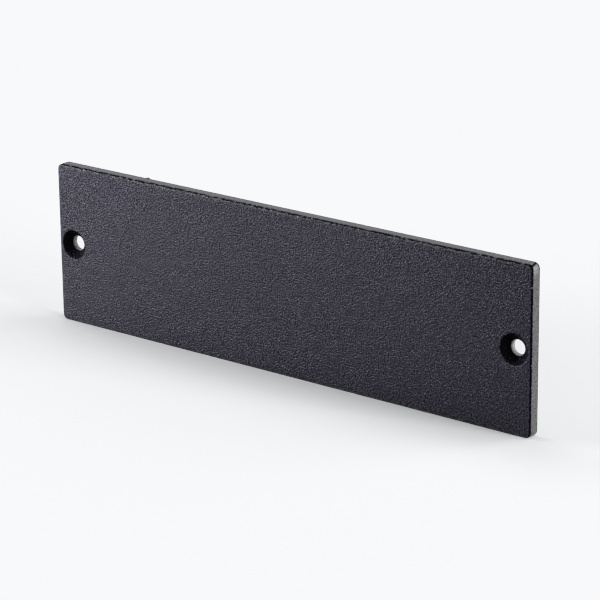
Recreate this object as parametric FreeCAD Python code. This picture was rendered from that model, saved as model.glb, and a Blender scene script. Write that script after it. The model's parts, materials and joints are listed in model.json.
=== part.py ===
import FreeCAD, Part
import math
import os

# Rack blanking panel: a flat metal plate that closes an empty bay of a module
# frame and is held by one countersunk screw near each end. Millimetres.
# X runs along the long side, Y from the front to the rear and Z up. The origin is
# the middle of the rear face, the face that seats on the rails.

# The plate, as cut and coated
panel_length = 133.35
panel_height = 38.1
panel_thickness = 3.0
corner_radius = 1.2
edge_radius = 0.3

# The two screw holes, level with the middle of the plate
hole_to_end = 4.3
bore_diameter = 3.6
countersink_diameter = 6.9
countersink_angle = 90.0
mouth_radius = 0.3
exit_radius = 0.2

# How far the hole cutter stands out of both faces
cutter_overrun = 1.0

rear_y = 0.0
front_y = rear_y - panel_thickness


def corner_arc(centre_x, centre_z, start_angle):
    """One rounded corner of the outline: a quarter circle in the front face."""
    points = []
    for eighth_turn in range(3):
        angle = math.radians(start_angle + 45.0 * eighth_turn)
        x = centre_x + corner_radius * math.cos(angle)
        z = centre_z + corner_radius * math.sin(angle)
        points.append(FreeCAD.Vector(x, front_y, z))
    return Part.Arc(*points)


def plate_outline():
    """The cut outline: four straight sides joined by the corner arcs."""
    centre_x = panel_length / 2 - corner_radius
    centre_z = panel_height / 2 - corner_radius
    arcs = [
        corner_arc(centre_x, centre_z, 0.0),
        corner_arc(-centre_x, centre_z, 90.0),
        corner_arc(-centre_x, -centre_z, 180.0),
        corner_arc(centre_x, -centre_z, 270.0),
    ]
    edges = []
    for arc, next_arc in zip(arcs, arcs[1:] + arcs[:1]):
        edges.append(arc.toShape())
        edges.append(Part.LineSegment(arc.EndPoint, next_arc.StartPoint).toShape())
    return Part.Wire(edges)


def coated_plate():
    """The blank at its full thickness, with the edges of both faces rounded."""
    thickness = FreeCAD.Vector(0, panel_thickness, 0)
    blank = Part.Face(plate_outline()).extrude(thickness)
    face_edges = []
    for edge in blank.Edges:
        first, last = edge.Vertexes[0].Point, edge.Vertexes[-1].Point
        if abs(first.y - last.y) < panel_thickness / 2:
            face_edges.append(edge)
    # two rounded edges share the plate's thickness
    radius = min(edge_radius, 0.45 * panel_thickness)
    return blank.makeFillet(radius, face_edges)


def hole_profile():
    """Half section of one screw hole about the Y axis, closed along that axis.

    From the front: a rounded mouth, the cone for the screw's head, the straight
    bore and a rounded rear rim."""
    bore = bore_diameter / 2
    mouth = countersink_diameter / 2
    half_angle = math.radians(countersink_angle / 2)
    cone_depth = (mouth - bore) / math.tan(half_angle)

    # the rounded mouth touches the front face and the cone at this reach from the sharp rim
    reach = mouth_radius * math.tan((math.pi / 2 - half_angle) / 2)
    mouth_centre = FreeCAD.Vector(mouth + reach, front_y + mouth_radius, 0)
    sharp_rim = FreeCAD.Vector(mouth, front_y, 0)
    to_rim = (sharp_rim - mouth_centre).normalize()
    on_face = FreeCAD.Vector(mouth + reach, front_y, 0)
    on_cone = sharp_rim + FreeCAD.Vector(-math.sin(half_angle), math.cos(half_angle), 0) * reach
    mouth_arc = Part.Arc(on_face, mouth_centre + to_rim * mouth_radius, on_cone)

    cone_end = FreeCAD.Vector(bore, front_y + cone_depth, 0)
    # the rear rim may take at most half of the straight bore
    rim = min(exit_radius, (rear_y - cone_end.y) / 2)
    rim_centre = FreeCAD.Vector(bore + rim, rear_y - rim, 0)
    to_exit = FreeCAD.Vector(-math.sqrt(0.5), math.sqrt(0.5), 0)
    bore_end = FreeCAD.Vector(bore, rear_y - rim, 0)
    on_rear = FreeCAD.Vector(bore + rim, rear_y, 0)
    exit_arc = Part.Arc(bore_end, rim_centre + to_exit * rim, on_rear)

    outside_rear = FreeCAD.Vector(on_rear.x, rear_y + cutter_overrun, 0)
    outside_front = FreeCAD.Vector(on_face.x, front_y - cutter_overrun, 0)
    axis_rear = FreeCAD.Vector(0, outside_rear.y, 0)
    axis_front = FreeCAD.Vector(0, outside_front.y, 0)
    edges = [
        mouth_arc.toShape(),
        Part.LineSegment(on_cone, cone_end).toShape(),
        Part.LineSegment(cone_end, bore_end).toShape(),
        exit_arc.toShape(),
        Part.LineSegment(on_rear, outside_rear).toShape(),
        Part.LineSegment(outside_rear, axis_rear).toShape(),
        Part.LineSegment(axis_rear, axis_front).toShape(),
        Part.LineSegment(axis_front, outside_front).toShape(),
        Part.LineSegment(outside_front, on_face).toShape(),
    ]
    return Part.Wire(edges)


def screw_hole(x):
    """The space that one countersunk screw hole takes out of the plate."""
    origin = FreeCAD.Vector(0, 0, 0)
    y_axis = FreeCAD.Vector(0, 1, 0)
    hole = Part.Face(hole_profile()).revolve(origin, y_axis, 360)
    hole.translate(FreeCAD.Vector(x, 0, 0))
    return hole


def blanking_panel():
    """The plate with a screw hole the same distance from each end."""
    hole_x = panel_length / 2 - hole_to_end
    panel = coated_plate()
    for x in (-hole_x, hole_x):
        panel = panel.cut(screw_hole(x))
    return panel


os.makedirs("parts", exist_ok=True)
blanking_panel().exportStep("parts/blanking_panel.step")
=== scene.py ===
import json
import math

import bmesh
import bpy
from mathutils import Matrix, Vector, geometry, noise


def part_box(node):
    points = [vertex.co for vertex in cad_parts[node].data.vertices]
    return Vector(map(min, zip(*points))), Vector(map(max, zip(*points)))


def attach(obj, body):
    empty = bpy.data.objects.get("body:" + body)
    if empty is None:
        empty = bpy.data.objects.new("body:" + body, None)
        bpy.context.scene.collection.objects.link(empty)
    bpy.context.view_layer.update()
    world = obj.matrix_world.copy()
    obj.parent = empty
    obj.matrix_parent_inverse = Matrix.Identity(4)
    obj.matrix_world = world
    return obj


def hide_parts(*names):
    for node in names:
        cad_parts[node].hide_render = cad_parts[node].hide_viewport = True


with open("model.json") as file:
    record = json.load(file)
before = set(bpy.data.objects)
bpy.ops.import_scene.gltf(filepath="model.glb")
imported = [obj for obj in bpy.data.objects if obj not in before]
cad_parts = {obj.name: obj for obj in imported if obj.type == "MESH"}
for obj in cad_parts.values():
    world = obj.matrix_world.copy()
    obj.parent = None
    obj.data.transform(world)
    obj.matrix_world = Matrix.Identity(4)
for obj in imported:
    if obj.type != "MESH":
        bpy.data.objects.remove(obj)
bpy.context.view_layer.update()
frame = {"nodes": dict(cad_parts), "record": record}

# The coated plate
# One rectangle of 3 mm metal plate with a countersunk screw hole near each end, deburred and then powder
# coated all over in fine-textured black. The coat rounds every edge, leaves the edges a little wavy and
# lies thin on the front edges, on the corners and in the countersinks. Shade is painted dark on the top and
# right front edges, on the corners and in the countersinks.

MM = 0.001
plate_low, plate_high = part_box("blanking_panel")
plate_length = plate_high.x - plate_low.x
plate_height = plate_high.z - plate_low.z
front_y = plate_low.y
rear_y = plate_high.y
corner_radius = 1.2 * MM
edge_radius = 0.3 * MM

plate = bmesh.new()
thin_coat_and_shade = plate.verts.layers.float.new("thin_coat_and_shade")   # how far the coat has drawn back, and how much shade is painted; at 1 it is gone
lit_side_and_specks = plate.verts.layers.float.new("lit_side_and_specks")       # 1 on the outer wall, whose coat is painted lighter, and up to 1 in painted highlight specks
painted_light = plate.verts.layers.float.new("painted_light")   # how much light is painted into the coat; 1 in the right bore

# The outer wall
# The plate's cut edges, deburred to a small round, with small rounded corners. They are skinned in rings of
# points, from the front face across the plate's thickness to the rear face.

wall_spacing = 0.3 * MM         # between points along the outline, and between rings across a wall
corner_steps = 12               # points round each corner
edge_steps = 5                  # rings round each edge
thin_reach = 0.18 * MM          # between the front edge and the two thin rings that follow it
last_thin_ring = edge_steps + 2


def arc(centre, radius, first, last, steps):
    """Points of an arc in a wall's section, as (way out, y); the angles turn from out towards the rear."""
    points = []
    for step in range(steps + 1):
        angle = math.radians(first + (last - first) * step / steps)
        points.append((centre[0] + radius * math.cos(angle), centre[1] + radius * math.sin(angle)))
    return points


def straight(start, end):
    """The points between the two ends of a straight stretch."""
    steps = max(1, round(math.dist(start, end) / wall_spacing))
    inner = []
    for step in range(1, steps):
        along = step / steps
        inner.append((start[0] + (end[0] - start[0]) * along, start[1] + (end[1] - start[1]) * along))
    return inner


def outer_wall_section():
    """From the front face to the rear face, as (way out, y); the way out counts from the corner centres."""
    flat = corner_radius - edge_radius
    front_edge = arc((flat, front_y + edge_radius), edge_radius, -90, 0, edge_steps)
    thin_ends = [(corner_radius, front_edge[-1][1] + thin_reach * step) for step in (1, 2)]
    rear_edge = arc((flat, rear_y - edge_radius), edge_radius, 0, 90, edge_steps)
    return front_edge + thin_ends + straight(thin_ends[-1], rear_edge[0]) + rear_edge


def outline_stations():
    """Places round the outline: a point on the rectangle of the corner centres, and the way out from it."""
    half_x = plate_length / 2 - corner_radius
    half_z = plate_height / 2 - corner_radius
    centres = [(half_x, half_z), (-half_x, half_z), (-half_x, -half_z), (half_x, -half_z)]
    stations = []
    for quarter, centre in enumerate(centres):
        for step in range(corner_steps):
            angle = math.radians(90 * quarter + 90 * step / corner_steps)
            stations.append((centre, (math.cos(angle), math.sin(angle))))
        next_centre = centres[(quarter + 1) % 4]
        side_angle = math.radians(90 * (quarter + 1))
        way_out = (math.cos(side_angle), math.sin(side_angle))
        stations.append((centre, way_out))
        for base in straight(centre, next_centre):
            stations.append((base, way_out))
    return stations


def wall(stations, section):
    """Skins one wall between the two faces, and returns its rings of points from the front to the rear."""
    rings = []
    for out, y in section:
        ring = []
        for base, way_out in stations:
            ring.append(plate.verts.new((base[0] + way_out[0] * out, y, base[1] + way_out[1] * out)))
        rings.append(ring)
    for ring, next_ring in zip(rings, rings[1:]):
        for i in range(len(ring)):
            j = (i + 1) % len(ring)
            plate.faces.new((ring[i], ring[j], next_ring[j], next_ring[i]))
    return rings


outline = outline_stations()
outer_section = outer_wall_section()
outer_rings = wall(outline, outer_section)
first_rear_ring = len(outer_rings) - 1 - edge_steps
front_loops = [outer_rings[0]]
rear_loops = [outer_rings[-1]]
edge_points = set()
for ring in outer_rings[:last_thin_ring + 1] + outer_rings[first_rear_ring:]:
    edge_points.update(ring)

# The thin coat and painted shade on the outer wall
# Along the top and right front edges the powder has drawn back in patches, and a line of shade is painted
# dark there. A pair of numbers says how far on average, and how much more or less in the patches. A band of
# painted shade lies on each corner's round as well.

patch_width = 0.7 * MM
patch_pattern = 0
top_edge_start = (0.3, 2.4)     # on the top edge's first ring, where the line is ragged towards the face
top_edge_middle = (0.95, 1.4)   # on the rest of that edge
top_edge_end = (0.95, 1.6)      # on the last thin ring, where the line is ragged towards the rear
right_edge = (3.0, 4.8)         # on the right edge, where the thin coat ends one ring sooner
speck_width = 0.45 * MM
speck_pattern = 3
top_highlight_specks = (0.2, 4.0)         # how strong the painted highlight specks on the face just below the top edge are, as such a pair

corner_band_start = 42.0        # degrees up a corner's round: the middle of its band of painted shade at the front
corner_band_climb = 36.0        # how many degrees further the band's middle is at the rear
corner_band_half_width = 11.0
corner_shade_strength = 1.6
rear_corner_end = 76.0          # degrees up the top right corner: where the painted shade on its rear edge ends


def uneven(point, width, pattern):
    """The height of an uneven noise at a point, from -1 to 1; each pattern number gives another one."""
    return noise.noise(point / width + Vector((pattern, pattern, pattern)))


def patchy(amount, unevenness):
    """An amount in patches, from its average and spread and the noise at a point."""
    average, spread = amount
    return average + spread * unevenness


def up_to_one(amount):
    """An amount kept between 0 and 1."""
    return max(0.0, min(1.0, amount))


def corner_slant(way_out):
    """How many degrees a way out leans from the right or left towards the top or bottom."""
    return math.degrees(math.atan2(abs(way_out[1]), abs(way_out[0])))


def edge_thinness_and_shade(way_out, ring_number, unevenness):
    """How far the coat has drawn back on a ring of the top and right front edges, with the shade painted
    there.
    """
    right = patchy(right_edge, unevenness)
    if ring_number == 1:
        top = patchy(top_edge_start, unevenness)
    elif ring_number < last_thin_ring:
        top = patchy(top_edge_middle, unevenness)
    else:
        top = patchy(top_edge_end, unevenness)
        right = 0.0
    return max(top * way_out[1], right * way_out[0])


def corner_painted_shade(way_out, depth):
    """How much shade is painted on a corner's round, in a band that climbs towards the rear."""
    band_middle = corner_band_start + corner_band_climb * depth / (rear_y - front_y)
    off_middle = (corner_slant(way_out) - band_middle) / corner_band_half_width
    return corner_shade_strength * math.exp(-off_middle ** 2)


# Painted highlight specks on the face just below the top edge, in the outer wall's lighter colour.
for vertex, (_, way_out) in zip(outer_rings[0], outline):
    speck = uneven(vertex.co, speck_width, speck_pattern)
    vertex[lit_side_and_specks] = up_to_one(way_out[1] * patchy(top_highlight_specks, speck))
for ring_number in range(1, len(outer_rings) - 1):
    depth = outer_section[ring_number][1] - front_y
    for vertex, (_, way_out) in zip(outer_rings[ring_number], outline):
        drawn_back_and_shade = corner_painted_shade(way_out, depth)
        if ring_number <= last_thin_ring:
            unevenness = uneven(vertex.co, patch_width, patch_pattern)
            drawn_back_and_shade = max(drawn_back_and_shade, edge_thinness_and_shade(way_out, ring_number, unevenness))
        on_top_right = way_out[0] > 0 and way_out[1] > 0
        # A dark line of painted shade round the top right corner's rear edge.
        if ring_number >= first_rear_ring and on_top_right and corner_slant(way_out) < rear_corner_end:
            drawn_back_and_shade = 1.0
        vertex[thin_coat_and_shade] = up_to_one(drawn_back_and_shade)
        vertex[lit_side_and_specks] = 1.0

# The screw holes
# Each is drilled and countersunk, with a rounded mouth and rear rim. Shade is painted into the cone, which
# is almost black, with faint streaks of painted light low on the right, and light is painted into the bore.

screw_holes = [mount for mount in frame["record"]["mounts"] if mount["kind"] == "bore"]
bore_radius = screw_holes[0]["dims"]["r_mm"] * MM
countersink_radius = 3.45 * MM
countersink_half_angle = math.radians(45)
cone_end_y = front_y + (countersink_radius - bore_radius) / math.tan(countersink_half_angle)
bore_start_y = cone_end_y + 0.08 * MM
mouth_radius = 0.3 * MM
exit_radius = 0.2 * MM
mouth_steps = 4
exit_steps = 3
hole_stations = 64
# Painted shade in the cones.
cone_painted_shade = 0.97
lit_streak_strength = 0.24          # how much painted light lifts the cone's shade there, on every second ring
lit_streak_way = (0.5, -0.87)       # from the middle of the cone to low on its right, where the light falls
# Painted light in the bores, more in the right one.
left_bore_painted_light = 0.62
right_bore_painted_light = 1.0


def hole_section():
    """From the front face down the mouth, the cone and the bore to the rear face, by radius and y."""
    mouth_turn = math.degrees(math.pi / 2 - countersink_half_angle)
    mouth_reach = mouth_radius * math.tan(math.radians(mouth_turn) / 2)
    mouth_centre = (countersink_radius + mouth_reach, front_y + mouth_radius)
    mouth = arc(mouth_centre, mouth_radius, -90, -90 - mouth_turn, mouth_steps)
    cone_end = (bore_radius, cone_end_y)
    bore_start = (bore_radius, bore_start_y)
    rear_rim = arc((bore_radius + exit_radius, rear_y - exit_radius), exit_radius, 180, 90, exit_steps)
    cone = straight(mouth[-1], cone_end)
    bore = straight(bore_start, rear_rim[0])
    return mouth + cone + [cone_end, bore_start] + bore + rear_rim


def round_stations(centre):
    """Places round one hole."""
    stations = []
    for step in range(hole_stations):
        angle = 2 * math.pi * step / hole_stations
        stations.append((centre, (math.cos(angle), math.sin(angle))))
    return stations


section = hole_section()
front_rims = []
rear_rims = []
for mount in screw_holes:
    hole_x, _, hole_z = mount["pos_m"]
    bore_painted_light = right_bore_painted_light if hole_x > 0 else left_bore_painted_light
    stations = round_stations((hole_x, hole_z))
    rings = wall(stations, section)
    front_loops.append(rings[0])
    rear_loops.append(rings[-1])
    front_rims.append((hole_x, hole_z, section[0][0]))
    rear_rims.append((hole_x, hole_z, section[-1][0]))
    for ring_number in range(1, len(rings) - 1):
        in_bore = section[ring_number][1] >= bore_start_y
        lit_streak = lit_streak_strength if ring_number % 2 else 0.0
        for vertex, (_, way_out) in zip(rings[ring_number], stations):
            if in_bore:
                vertex[painted_light] = bore_painted_light
            else:
                facing = max(0.0, lit_streak_way[0] * way_out[0] + lit_streak_way[1] * way_out[1])
                unevenness = uneven(vertex.co, patch_width, patch_pattern)
                vertex[thin_coat_and_shade] = cone_painted_shade - lit_streak * facing * (1.0 + unevenness)

# The front and rear faces
# They are flat sheet between the outer wall and the holes' rims, filled with even triangles.

face_spacing = 0.46 * MM        # between neighbouring points
clear_of_edges = face_spacing / 2
same_point = 1e-8               # points closer than this count as one
only_inside = 1                 # the triangles outside the outer loop are left out
just_within = 0.999             # of a rim's radius, so that the points on the rim stay outside the hole


def inside_face(x, z):
    """Whether a point of the flat face lies clear of the rounded outer edges."""
    core_x = abs(x) - (plate_length / 2 - corner_radius)
    core_z = abs(z) - (plate_height / 2 - corner_radius)
    beyond_corner = math.hypot(max(core_x, 0), max(core_z, 0)) + min(max(core_x, core_z), 0)
    return beyond_corner < corner_radius - edge_radius - clear_of_edges


def flat_face(loops, rims, y):
    """Fills a face between its loops; the rims are the holes' (x, z, radius) on it."""
    vertices = [vertex for loop in loops for vertex in loop]
    points = [Vector((vertex.co.x, vertex.co.z)) for vertex in vertices]
    edges = []
    first = 0
    for loop in loops:
        count = len(loop)
        edges += [(first + i, first + (i + 1) % count) for i in range(count)]
        first += count
    row_height = face_spacing * math.sqrt(3) / 2
    rows = math.ceil(plate_height / row_height)
    columns = math.ceil(plate_length / face_spacing)
    for row in range(-(rows // 2), rows // 2 + 1):
        z = row * row_height
        for column in range(-(columns // 2) - 1, columns // 2 + 1):
            x = (column + (0.5 if row % 2 else 0)) * face_spacing
            clear = all(math.hypot(x - hx, z - hz) > radius + clear_of_edges for hx, hz, radius in rims)
            if clear and inside_face(x, z):
                vertices.append(plate.verts.new((x, y, z)))
                points.append(Vector((x, z)))
    _, _, triangles, origins, _, _ = geometry.delaunay_2d_cdt(points, edges, [], only_inside, same_point)
    for triangle in triangles:
        corners = [vertices[origins[i][0]] for i in triangle]
        middle_x = sum(corner.co.x for corner in corners) / 3
        middle_z = sum(corner.co.z for corner in corners) / 3
        if all(math.hypot(middle_x - hx, middle_z - hz) > radius * just_within for hx, hz, radius in rims):
            plate.faces.new(corners)


flat_face(front_loops, front_rims, front_y)
flat_face(rear_loops, rear_rims, rear_y)
bmesh.ops.recalc_face_normals(plate, faces=plate.faces)
for face in plate.faces:
    face.smooth = True

# The coat's relief
# The coat sinks a little below the plate's full size, in a shallow orange peel all over and in a slow waver
# of the edges, deepest where it is thin. One small lump of powder stands up on the top rear edge, and a
# highlight is painted on one spot near the top of the right end.

face_pit_shade = 0.38            # painted shade, enough to blacken the deeper pits of the grain
# Painted shade in the grain's pits on the outer wall.
side_pit_shade = 0.16
peel_depth = 0.014 * MM
peel_width = 1.3 * MM
peel_pattern = 0
edge_waver_depth = 0.04 * MM
thin_waver_depth = 0.06 * MM
waver_width = 1.6 * MM
waver_pattern = 7
lump_place = Vector((-41.0 * MM, rear_y, plate_high.z))
lump_height = 0.3 * MM
lump_radius = 0.42 * MM
# A painted highlight near the top of the right end.
highlight_spot_place = Vector((plate_high.x, -2.0 * MM, plate_high.z - 0.8 * MM))
highlight_spot_radius = 1.2 * MM
highlight_spot_strength = 0.26


def dip(point, width, pattern):
    """How deep an uneven surface has sunk at a point, from 0 to 1."""
    return 0.5 + 0.5 * uneven(point, width, pattern)


def hump(point, middle, radius):
    """The height of a smooth hump at a point, 1 in its middle."""
    return math.exp(-((point - middle).length / radius) ** 2)


plate.normal_update()
for vertex in plate.verts:
    peel = peel_depth * dip(vertex.co, peel_width, peel_pattern)
    waver_depth = thin_waver_depth * vertex[thin_coat_and_shade]
    if vertex in edge_points:
        waver_depth += edge_waver_depth
    waver = waver_depth * dip(vertex.co, waver_width, waver_pattern)
    lump = hump(vertex.co, lump_place, lump_radius)
    highlight_spot = highlight_spot_strength * hump(vertex.co, highlight_spot_place, highlight_spot_radius) * vertex[lit_side_and_specks]
    least_pit_shade = side_pit_shade if vertex[lit_side_and_specks] or vertex[painted_light] else face_pit_shade
    vertex[thin_coat_and_shade] = max(vertex[thin_coat_and_shade], least_pit_shade, lump)
    vertex[painted_light] = max(vertex[painted_light], highlight_spot)
    vertex.co += vertex.normal * (lump_height * lump - peel - waver)

coated_plate = bpy.data.objects.new("coated_plate", bpy.data.meshes.new("coated_plate"))
plate.to_mesh(coated_plate.data)
plate.free()
bpy.context.scene.collection.objects.link(coated_plate)

# The powder coat
# A baked finish with a fine pebbled grain, shallower towards the right end and the lower edge, and with
# shade painted into its pits, which are darker than its tops. Where the coat is thin, and where shade is
# painted, it is dull and almost black, first in the pits and then all over. Light is painted on the outer
# wall, which is lighter than the faces, in the bores, which are palest, and on one spot near the top of the
# right end.

grain_width = 0.333 * MM
grain_depth = 0.12 * MM
pit_bottom = 0.3                # the grain's noise at the bottom of a pit
pebble_top = 0.7                # and on top of a pebble
side_grain = 0.6                # how deep the grain is on the outer wall, as a share of that on the faces
right_end_grain = 0.6           # and at the plate's right end, as a share of that on the left
flatter_from = -10.0 * MM       # the place along the plate where the grain starts to get shallower
lower_edge_grain = 0.62         # and at the plate's lower edge, as a share of that above
flatter_below = -6.0 * MM       # the height below which the grain starts to get shallower
pit_lead = 1.2                  # how much sooner the thin coat and painted shade blacken the pits than the tops
coat_roughness = 0.38
cone_roughness = 0.75           # where the coat is gone in the cones
edge_roughness = 1.0            # and on the outer wall
coat_gloss = 0.40
gloss_tint = (0.80, 0.77, 1.0, 1)
# Painted shade: the pits are darker than the tops.
shaded_pit_colour = (0.005, 0.0045, 0.0065, 1)
top_colour = (0.032, 0.029, 0.042, 1)
# Painted light: the outer wall's coat is lighter than the faces'; its pits have painted shade.
lit_side_pit_colour = (0.040, 0.040, 0.039, 1)
lit_side_top_colour = (0.078, 0.077, 0.076, 1)
# The colour of the painted light in the bores and on the highlight spot.
bore_painted_light_colour = (0.42, 0.42, 0.423, 1)
# Almost black: the bare coat, and the painted shade.
thin_coat_and_shade_colour = (0.003, 0.003, 0.004, 1)

powder_coat = bpy.data.materials.new("black powder coat")
powder_coat.use_nodes = True
nodes = powder_coat.node_tree.nodes
links = powder_coat.node_tree.links
paint = nodes["Principled BSDF"]
paint.inputs["IOR"].default_value = 1.5
paint.inputs["Specular IOR Level"].default_value = coat_gloss
paint.inputs["Specular Tint"].default_value = gloss_tint


def feed(socket, amount):
    """Gives a node's socket a plain number or colour, or the output of another node."""
    if isinstance(amount, bpy.types.NodeSocket):
        links.new(amount, socket)
    else:
        socket.default_value = amount


def carried(name):
    """A value that the mesh carries from point to point."""
    attribute = nodes.new("ShaderNodeAttribute")
    attribute.attribute_name = name
    return attribute.outputs["Fac"]


def slope(value, low, high, at_low, at_high):
    """An amount that goes from at_low to at_high while a value goes from low to high, and level beyond."""
    ramp = nodes.new("ShaderNodeMapRange")
    feed(ramp.inputs["Value"], value)
    feed(ramp.inputs["From Min"], low)
    feed(ramp.inputs["From Max"], high)
    feed(ramp.inputs["To Min"], at_low)
    feed(ramp.inputs["To Max"], at_high)
    return ramp.outputs["Result"]


def times(first, second):
    """Two amounts multiplied."""
    product = nodes.new("ShaderNodeMath")
    product.operation = "MULTIPLY"
    feed(product.inputs[0], first)
    feed(product.inputs[1], second)
    return product.outputs["Value"]


def blend(share, first, second):
    """A colour between two others."""
    mix = nodes.new("ShaderNodeMix")
    mix.data_type = "RGBA"
    feed(mix.inputs["Factor"], share)
    feed(mix.inputs["A"], first)
    feed(mix.inputs["B"], second)
    return mix.outputs["Result"]


lit_side_mask = carried("lit_side_and_specks")
thin_and_shade = carried("thin_coat_and_shade")
coordinates = nodes.new("ShaderNodeTexCoord")
position = nodes.new("ShaderNodeSeparateXYZ")
feed(position.inputs["Vector"], coordinates.outputs["Object"])
grain = nodes.new("ShaderNodeTexNoise")
feed(grain.inputs["Vector"], coordinates.outputs["Object"])
grain.inputs["Scale"].default_value = 1 / grain_width
grain.inputs["Detail"].default_value = 0.0
pebbles = slope(grain.outputs["Fac"], pit_bottom, pebble_top, 0.0, 1.0)

share_along = slope(position.outputs["X"], flatter_from, plate_high.x, 1.0, right_end_grain)
share_up = slope(position.outputs["Z"], plate_low.z, flatter_below, lower_edge_grain, 1.0)
share_on_side = slope(lit_side_mask, 0.0, 1.0, 1.0, side_grain)
bump = nodes.new("ShaderNodeBump")
bump.inputs["Strength"].default_value = 1.0
bump.inputs["Distance"].default_value = grain_depth
feed(bump.inputs["Height"], times(share_on_side, times(times(share_along, share_up), pebbles)))
feed(paint.inputs["Normal"], bump.outputs["Normal"])

gone_and_shaded = nodes.new("ShaderNodeMath")
gone_and_shaded.operation = "MULTIPLY_ADD"
gone_and_shaded.use_clamp = True
feed(gone_and_shaded.inputs[0], pebbles)
feed(gone_and_shaded.inputs[1], -pit_lead)
feed(gone_and_shaded.inputs[2], times(thin_and_shade, 1.0 + pit_lead))
face_coat = blend(pebbles, shaded_pit_colour, top_colour)
lit_side_coat = blend(pebbles, lit_side_pit_colour, lit_side_top_colour)
coat_and_painted_light = blend(carried("painted_light"), blend(lit_side_mask, face_coat, lit_side_coat), bore_painted_light_colour)
feed(paint.inputs["Base Color"], blend(gone_and_shaded.outputs["Value"], coat_and_painted_light, thin_coat_and_shade_colour))
feed(paint.inputs["Metallic"], gone_and_shaded.outputs["Value"])
thin_roughness = slope(lit_side_mask, 0.0, 1.0, cone_roughness, edge_roughness)
feed(paint.inputs["Roughness"], slope(thin_and_shade, face_pit_shade, 1.0, coat_roughness, thin_roughness))

coated_plate.data.materials.append(powder_coat)
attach(coated_plate, "root")
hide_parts("blanking_panel")
frame["nodes"]["blanking_panel"].data.materials.clear()
frame["nodes"]["blanking_panel"].data.materials.append(powder_coat)

# The floor and the background
# A matt pale floor that keeps the plate's soft shadow. The room round it shows its pale colour to the
# camera and in reflections only, and all other light comes from the lamps.

background_colour = (0.939, 0.947, 0.965, 1)
floor_colour = (0.56, 0.56, 0.56, 1)
floor_roughness = 0.9
floor_reach = 2.0               # from its middle to each edge

floor_mesh = bmesh.new()
bmesh.ops.create_grid(floor_mesh, x_segments=1, y_segments=1, size=floor_reach)
floor = bpy.data.objects.new("floor", bpy.data.meshes.new("floor"))
floor_mesh.to_mesh(floor.data)
floor_mesh.free()
floor.location.z = plate_low.z
floor.is_shadow_catcher = True
bpy.context.scene.collection.objects.link(floor)
floor_paint = bpy.data.materials.new("pale floor")
floor_paint.use_nodes = True
floor_surface = floor_paint.node_tree.nodes["Principled BSDF"]
floor_surface.inputs["Base Color"].default_value = floor_colour
floor_surface.inputs["Roughness"].default_value = floor_roughness
floor.data.materials.append(floor_paint)

world = bpy.data.worlds.new("pale room")
bpy.context.scene.world = world
world.use_nodes = True
room_nodes = world.node_tree.nodes
room_links = world.node_tree.links
unlit = room_nodes["Background"]
unlit.inputs["Strength"].default_value = 0.0
pale = room_nodes.new("ShaderNodeBackground")
pale.inputs["Color"].default_value = background_colour
pale.inputs["Strength"].default_value = 1.0
ray = room_nodes.new("ShaderNodeLightPath")
sees_pale = ray.outputs["Is Camera Ray"]
for other_kind in ("Is Glossy Ray", "Is Transmission Ray"):
    either = room_nodes.new("ShaderNodeMath")
    either.operation = "MAXIMUM"
    room_links.new(sees_pale, either.inputs[0])
    room_links.new(ray.outputs[other_kind], either.inputs[1])
    sees_pale = either.outputs["Value"]
shown = room_nodes.new("ShaderNodeMixShader")
room_links.new(sees_pale, shown.inputs["Fac"])
room_links.new(unlit.outputs["Background"], shown.inputs[1])
room_links.new(pale.outputs["Background"], shown.inputs[2])
room_links.new(shown.outputs["Shader"], room_nodes["World Output"].inputs["Surface"])

# The lamps
# Soft studio lamps: a bright one low on the right, four weaker ones above, behind and on the left, and two
# small ones near the left end, whose light falls off along the front.

softbox_distance = 0.8          # metres, like the lamps' other sizes and places
softbox_width = 0.45
right_softbox_height = 0.27
small_lamp_width = 0.1
small_lamp_aim = Vector((-0.045, -0.003, 0.0))


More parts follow.
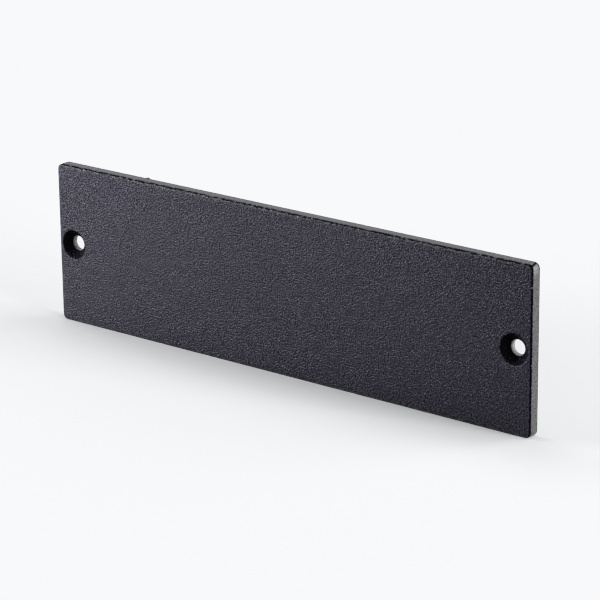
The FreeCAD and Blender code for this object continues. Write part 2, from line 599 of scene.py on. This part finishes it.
def soft_lamp(name, place, aim, width, height, power):
    """A soft rectangular lamp at one place that looks at another, and isn't seen itself."""
    lamp = bpy.data.objects.new(name, bpy.data.lights.new(name, "AREA"))
    lamp.location = place
    lamp.rotation_euler = (place - aim).to_track_quat("Z", "Y").to_euler()
    lamp.data.shape = "RECTANGLE"
    lamp.data.size = width
    lamp.data.size_y = height
    lamp.data.energy = power
    lamp.visible_camera = False
    bpy.context.scene.collection.objects.link(lamp)


def softbox(name, azimuth, elevation, height, power):
    """A large lamp that looks at the plate's middle; azimuth 0 is in front and 90 on the right."""
    turn = math.radians(azimuth)
    rise = math.radians(elevation)
    way = Vector((math.sin(turn) * math.cos(rise), -math.cos(turn) * math.cos(rise), math.sin(rise)))
    soft_lamp(name, way * softbox_distance, Vector((0, 0, 0)), softbox_width, height, power)


softbox("right softbox", 89, 8.3, right_softbox_height, 12.0)
softbox("top right softbox", 120, 65, softbox_width, 1.36)
softbox("top left softbox", 240, 65, softbox_width, 1.51)
softbox("left softbox", 270, 35, softbox_width, 1.31)
softbox("back right softbox", 135, 35, softbox_width, 0.98)
for name, place, power in (
        ("left lamp", Vector((-0.300, -0.200, 0.030)), 0.57),
        ("near left lamp", Vector((-0.160, -0.080, 0.040)), 0.155)):
    soft_lamp(name, place, small_lamp_aim, small_lamp_width, small_lamp_width, power)

# The camera
# It stands in front of the plate on the right, a little above it, and looks at it through a long lens,
# turned and tilted as in the photo.

sensor_width = 36.0             # millimetres, like the lens
lens_length = 167.7
camera_distance = 619.35 * MM
camera_turn = math.radians(38.72)
camera_pitch = math.radians(18.22)
camera_roll = math.radians(-0.63)
aimed_at = Vector((3.6, -0.7, -1.3)) * MM

camera = bpy.data.objects.new("camera", bpy.data.cameras.new("camera"))
bpy.context.scene.collection.objects.link(camera)
camera.data.sensor_width = sensor_width
camera.data.lens = lens_length
towards = Vector((
    -math.sin(camera_turn) * math.cos(camera_pitch),
    math.cos(camera_turn) * math.cos(camera_pitch),
    -math.sin(camera_pitch)))
camera.location = aimed_at - towards * camera_distance
look = towards.to_track_quat("-Z", "Y").to_matrix() @ Matrix.Rotation(camera_roll, 3, "Z")
camera.rotation_euler = look.to_euler()
bpy.context.scene.camera = camera
bpy.context.scene.view_settings.view_transform = "Standard"
